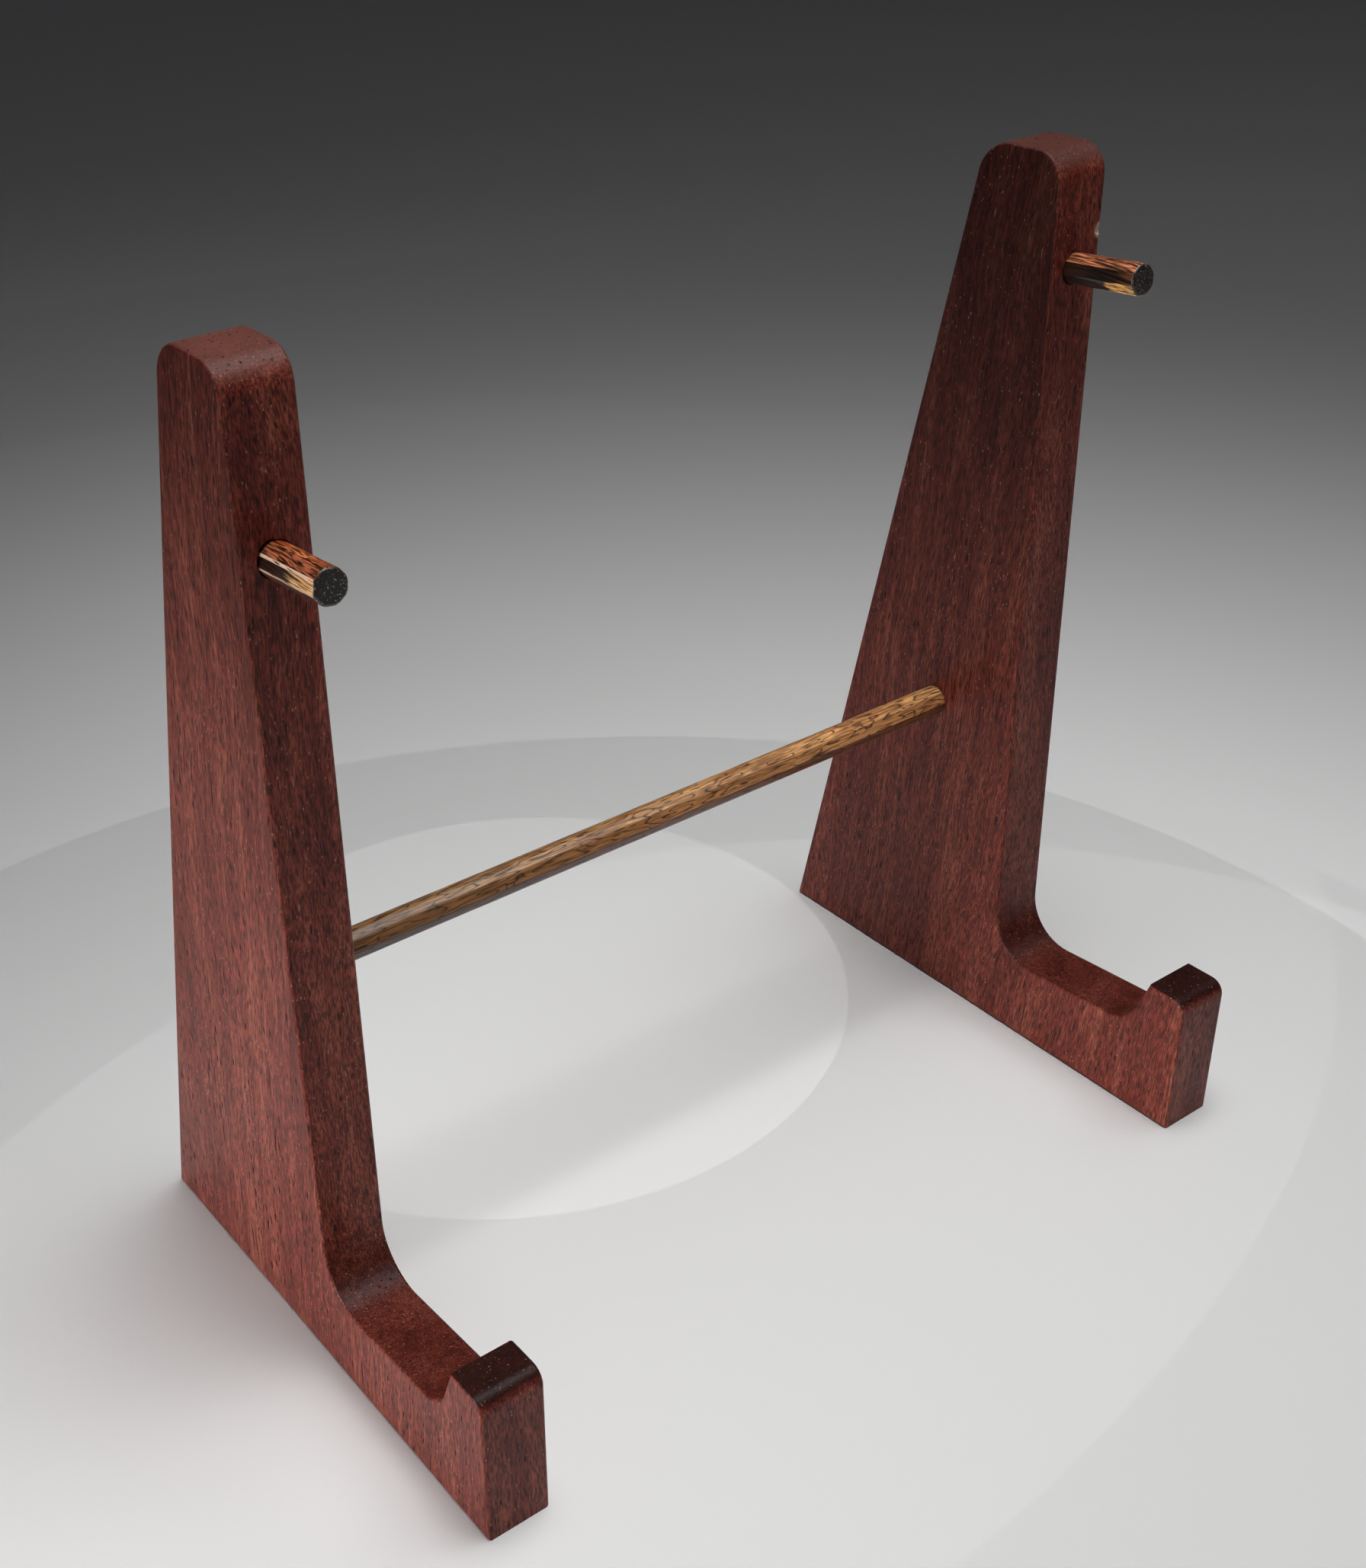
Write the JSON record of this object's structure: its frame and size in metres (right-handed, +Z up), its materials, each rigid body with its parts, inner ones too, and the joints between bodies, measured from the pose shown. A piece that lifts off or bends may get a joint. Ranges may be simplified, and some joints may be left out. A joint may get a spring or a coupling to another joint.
{
  "type": "dip pen holder",
  "caption": "Wooden stand of L-shaped uprights joined by a thin dowel, with short front pegs and lipped feet that carry dip pens laid across.",
  "frame": {"origin": "on the table, at the middle of the stand's bounding box", "axes": "+Z up, +X from the left upright to the right one, the pegs and the feet's lips point towards -Y"},
  "size_m": [0.1546, 0.101, 0.1658],
  "materials": {
    "red_hardwood": "oiled satin, open pored",
    "striped_bar": "oiled satin, dark wavy stripes",
    "striped_peg": "polished, dark lengthwise stripes"
  },
  "bodies": {
    "root": {"left_upright": "red_hardwood", "right_upright": "red_hardwood", "crossbar": "striped_bar", "left_peg": "striped_peg", "right_peg": "striped_peg"}
  },
  "joints": []
}
